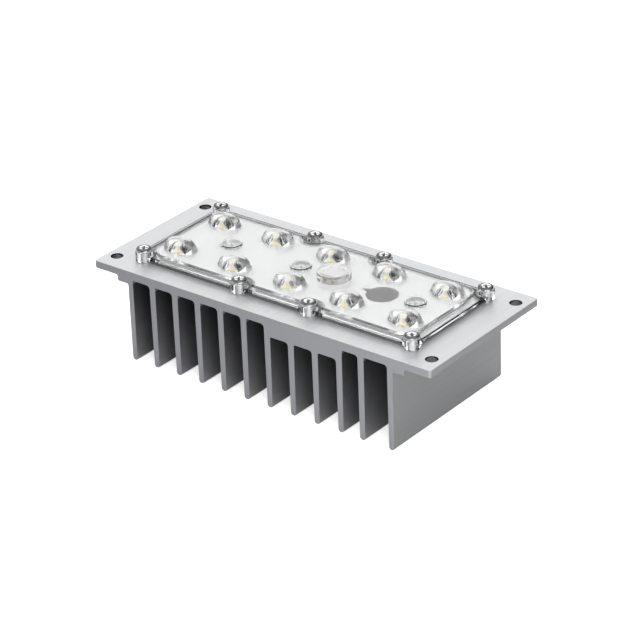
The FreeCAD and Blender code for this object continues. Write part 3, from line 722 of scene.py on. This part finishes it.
def screw_rings(length):
    """Rings of a pan-head screw from its head's pole down to its point, head seat at zero, and how much painted
    shade each point gets. The crown is rim + rise sqrt(1 - (r / R) ** 6) less a cross-shaped dip: two bars |u|
    < half width, |v| < half span, whose depth falls off towards their ends. Down the shank the radius is the
    crest less a triangle wave of (height / pitch - turn)."""
    angle = np.linspace(0, 2 * np.pi, SCREW_TURNS, endpoint=False)
    radii = np.maximum(HEAD_RADIUS * np.sin(np.linspace(0, np.pi / 2, HEAD_RINGS)), POLE)[:, None]
    share = radii / HEAD_RADIUS
    x = radii * np.cos(angle)
    y = radii * np.sin(angle)
    crown = HEAD_RIM + (HEAD_HEIGHT - HEAD_RIM) * np.sqrt(np.clip(1 - share ** 6, 0, 1))
    dip = np.zeros_like(x)
    for across, along in ((x, y), (y, x)):
        bar = 1 - smooth_step(np.abs(across), RECESS_WIDTH * 0.75, RECESS_WIDTH * 1.15)
        reach = 1 - smooth_step(np.abs(along), RECESS_HALF * 0.55, RECESS_HALF)
        dip = np.maximum(dip, bar * reach)
    top = np.stack([x, y, crown - RECESS_DEPTH * dip], -1)
    side_radii = [HEAD_RADIUS, HEAD_RADIUS, HEAD_RADIUS - HEAD_EDGE, THREAD_CREST]
    side = turned_rings(side_radii, [HEAD_RIM * 0.6, HEAD_EDGE, 0.0, 0.0], SCREW_TURNS)
    rows = int(length / THREAD_PITCH * THREAD_ROWS)
    depth = np.linspace(THREAD_START, length, rows)[:, None]
    wave = np.abs((depth / THREAD_PITCH - angle / (2 * np.pi)) % 1.0 * 2 - 1)
    taper = POINT_SHARE + (1 - POINT_SHARE) * smooth_step(length - depth, 0, POINT_LENGTH)
    radius = (THREAD_CREST - THREAD_DEPTH * wave) * taper
    level = np.broadcast_to(-depth, radius.shape)
    shank = np.stack([radius * np.cos(angle), radius * np.sin(angle), level], -1)
    rings = np.concatenate([top, side, shank])
    painted_shade = np.zeros(rings.shape[:2])
    # Painted shade: the recess and a ring round the top of the head are made dark.
    painted_shade[:HEAD_RINGS] = np.maximum(smooth_step(share, *SHADE_RING_FROM), smooth_step(dip, 0.1, 0.6))
    return rings, painted_shade


plated, shader = principled("plated_steel")
tree = plated.node_tree
wear = stretched_noise(tree, (1, 1, 1), 1800.0)
# Painted shade: the per-point attribute mixes in a dark colour in the recess and round the top of the head.
painted_shade_node = tree.nodes.new("ShaderNodeAttribute")
painted_shade_node.attribute_name = "painted_shade"
bright_zinc = tint(tree, wear, (0.74, 0.74, 0.75), (0.88, 0.88, 0.89))
shaded_zinc = tint(tree, wear, (0.05, 0.05, 0.055), (0.13, 0.13, 0.135))
link(tree, mixed(tree, painted_shade_node.outputs["Fac"], bright_zinc, shaded_zinc), shader.inputs["Base Color"])
height = axes_of(tree, "Object")["Z"]
covered = math_node(tree, "LESS_THAN", height, plate_top + BOSS_SPAN[1] - SURFACE_DEPTH)
matt = math_node(tree, "MULTIPLY", covered, MATT_MORE)
link(tree, math_node(tree, "ADD", ramp_node(tree, wear, 0.3, 0.7, 0.16, 0.3), matt), shader.inputs["Roughness"])
painted = math_node(tree, "MULTIPLY", covered, METAL_LESS)
link(tree, math_node(tree, "SUBTRACT", 1.0, painted), shader.inputs["Metallic"])

screw_nodes = [f"cover_screw_{number}" for number in range(1, 9)]
screw_nodes += [f"board_screw_{number}" for number in range(1, 4)]
for number, node in enumerate(screw_nodes):
    low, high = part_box(node)
    seat = high.z - SOLID_HEAD_HEIGHT
    rings, painted_shade = screw_rings(seat - low.z)
    painted_shade *= BOARD_SCREW_SHADE if node.startswith("board") else 1.0
    turn = RECESS_TURN + TURN_SPREAD * math.sin(2.4 * number)
    spun = np.stack([rings[..., 0] * math.cos(turn) - rings[..., 1] * math.sin(turn),
                     rings[..., 0] * math.sin(turn) + rings[..., 1] * math.cos(turn), rings[..., 2]], -1)
    spun += np.array([(low.x + high.x) / 2, (low.y + high.y) / 2, seat])
    screw = mesh_piece(f"{node}_turned", *ring_solid(spun))
    shade = screw.data.attributes.new("painted_shade", "FLOAT", "POINT")
    shade.data.foreach_set("value", painted_shade.reshape(-1).astype(np.float32))
    finish_piece(screw, node, "screw_steel", plated, smooth=40.0)
